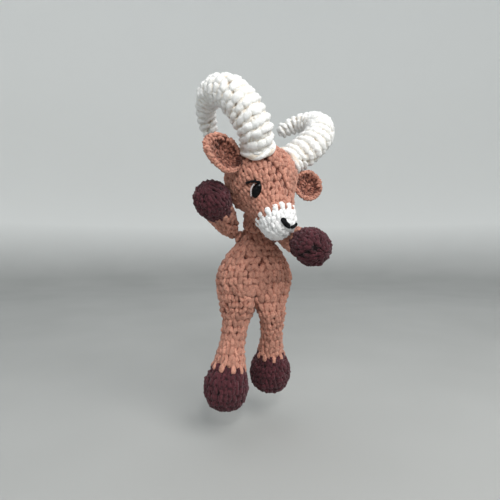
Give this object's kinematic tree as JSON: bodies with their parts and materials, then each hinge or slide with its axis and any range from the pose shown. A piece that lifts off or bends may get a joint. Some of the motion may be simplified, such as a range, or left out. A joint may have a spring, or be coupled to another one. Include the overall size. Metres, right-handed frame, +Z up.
{
  "type": "crocheted ibex doll",
  "caption": "Crocheted chenille ibex doll with curled ribbed horns, cupped ears, a stuffed head and body, and floppy hoofed limbs that turn at their seams.",
  "frame": {"origin": "the grip at the nape of the neck, where the doll is held", "axes": "+X to the doll's left, -Y to its front, +Z up along the hanging body"},
  "size_m": [0.1595, 0.1583, 0.3527],
  "materials": {
    "brown_chenille": "fuzzy",
    "burgundy_chenille": "fuzzy",
    "white_chenille": "fuzzy",
    "cream_chenille": "fuzzy",
    "polyester_fill": "matte",
    "black_plastic": "gloss",
    "white_plastic": "matte",
    "black_yarn": "matte",
    "white_yarn": "matte"
  },
  "bodies": {
    "torso": {"torso_shell": "brown_chenille", "torso_stuffing": "polyester_fill"},
    "neck": {"neck_seam": "brown_chenille"},
    "head": {"head_shell": "brown_chenille", "muzzle_shell": "white_chenille", "head_stuffing": "polyester_fill", "nose_embroidery": "black_yarn", "right_eye": "black_plastic", "right_eye_washer": "white_plastic", "right_eyelash": "black_yarn", "right_eye_white": "white_yarn", "right_horn_seam": "cream_chenille", "right_ear_seam": "brown_chenille", "left_eye": "black_plastic", "left_eye_washer": "white_plastic", "left_eyelash": "black_yarn", "left_eye_white": "white_yarn", "left_horn_seam": "cream_chenille", "left_ear_seam": "brown_chenille"},
    "right_horn": {"right_horn_shell": "cream_chenille", "right_horn_stuffing": "polyester_fill"},
    "right_ear": {"right_ear_shell": "brown_chenille"},
    "right_shoulder": {"right_shoulder_seam": "brown_chenille"},
    "right_arm": {"right_arm_shell": "brown_chenille", "right_arm_hoof": "burgundy_chenille", "right_arm_stuffing": "polyester_fill"},
    "right_leg": {"right_leg_shell": "brown_chenille", "right_leg_hoof": "burgundy_chenille", "right_leg_stuffing": "polyester_fill"},
    "left_horn": {"left_horn_shell": "cream_chenille", "left_horn_stuffing": "polyester_fill"},
    "left_ear": {"left_ear_shell": "brown_chenille"},
    "left_shoulder": {"left_shoulder_seam": "brown_chenille"},
    "left_arm": {"left_arm_shell": "brown_chenille", "left_arm_hoof": "burgundy_chenille", "left_arm_stuffing": "polyester_fill"},
    "left_leg": {"left_leg_shell": "brown_chenille", "left_leg_hoof": "burgundy_chenille", "left_leg_stuffing": "polyester_fill"}
  },
  "joints": [
    {"name": "neck_turn", "type": "hinge", "parent": "torso", "child": "neck", "pos_m": [0.00148, -0.0256, 0.00535], "axis": [0.0689, -0.4002, 0.9138], "range_deg": [-25, 0]},
    {"name": "neck_nod", "type": "hinge", "parent": "neck", "child": "head", "pos_m": [0.00148, -0.0256, 0.00535], "axis": [-1, 0, 0], "range_deg": [0, 25]},
    {"name": "right_arm_swing", "type": "hinge", "parent": "torso", "child": "right_shoulder", "pos_m": [-0.0269, -0.019, -0.0105], "axis": [0.866, 0, -0.5], "range_deg": [0, 130]},
    {"name": "right_arm_raise", "type": "hinge", "parent": "right_shoulder", "child": "right_arm", "pos_m": [-0.0269, -0.019, -0.0105], "axis": [-0.469, -0.3468, -0.8123], "range_deg": [0, 30]},
    {"name": "right_hip", "type": "hinge", "parent": "torso", "child": "right_leg", "pos_m": [-0.0212, -0.017, -0.095], "axis": [-1, 0, 0], "range_deg": [-30, 80]},
    {"name": "right_ear_flap", "type": "hinge", "parent": "head", "child": "right_ear", "pos_m": [-0.02479, -0.07372, 0.05767], "axis": [-0.5766, 0.6077, 0.5461], "range_deg": [-8, 6]},
    {"name": "right_horn_wobble", "type": "hinge", "parent": "head", "child": "right_horn", "pos_m": [-0.00156, -0.08561, 0.08316], "axis": [-0.5766, 0.6077, 0.5461], "range_deg": [-6, 6]},
    {"name": "left_arm_swing", "type": "hinge", "parent": "torso", "child": "left_shoulder", "pos_m": [0.0269, -0.019, -0.0105], "axis": [0.866, 0, 0.5], "range_deg": [0, 100]},
    {"name": "left_arm_raise", "type": "hinge", "parent": "left_shoulder", "child": "left_arm", "pos_m": [0.0269, -0.019, -0.0105], "axis": [-0.4383, -0.4811, 0.7592], "range_deg": [0, 30]},
    {"name": "left_hip", "type": "hinge", "parent": "torso", "child": "left_leg", "pos_m": [0.0186, -0.017, -0.095], "axis": [-1, 0, 0], "range_deg": [-12, 100]},
    {"name": "left_ear_flap", "type": "hinge", "parent": "head", "child": "left_ear", "pos_m": [0.0446, -0.02507, 0.04511], "axis": [0.5766, -0.6077, -0.5461], "range_deg": [-8, 1]},
    {"name": "left_horn_wobble", "type": "hinge", "parent": "head", "child": "left_horn", "pos_m": [0.04772, -0.0231, 0.07683], "axis": [0.5766, -0.6077, -0.5461], "range_deg": [-6, 6]}
  ]
}
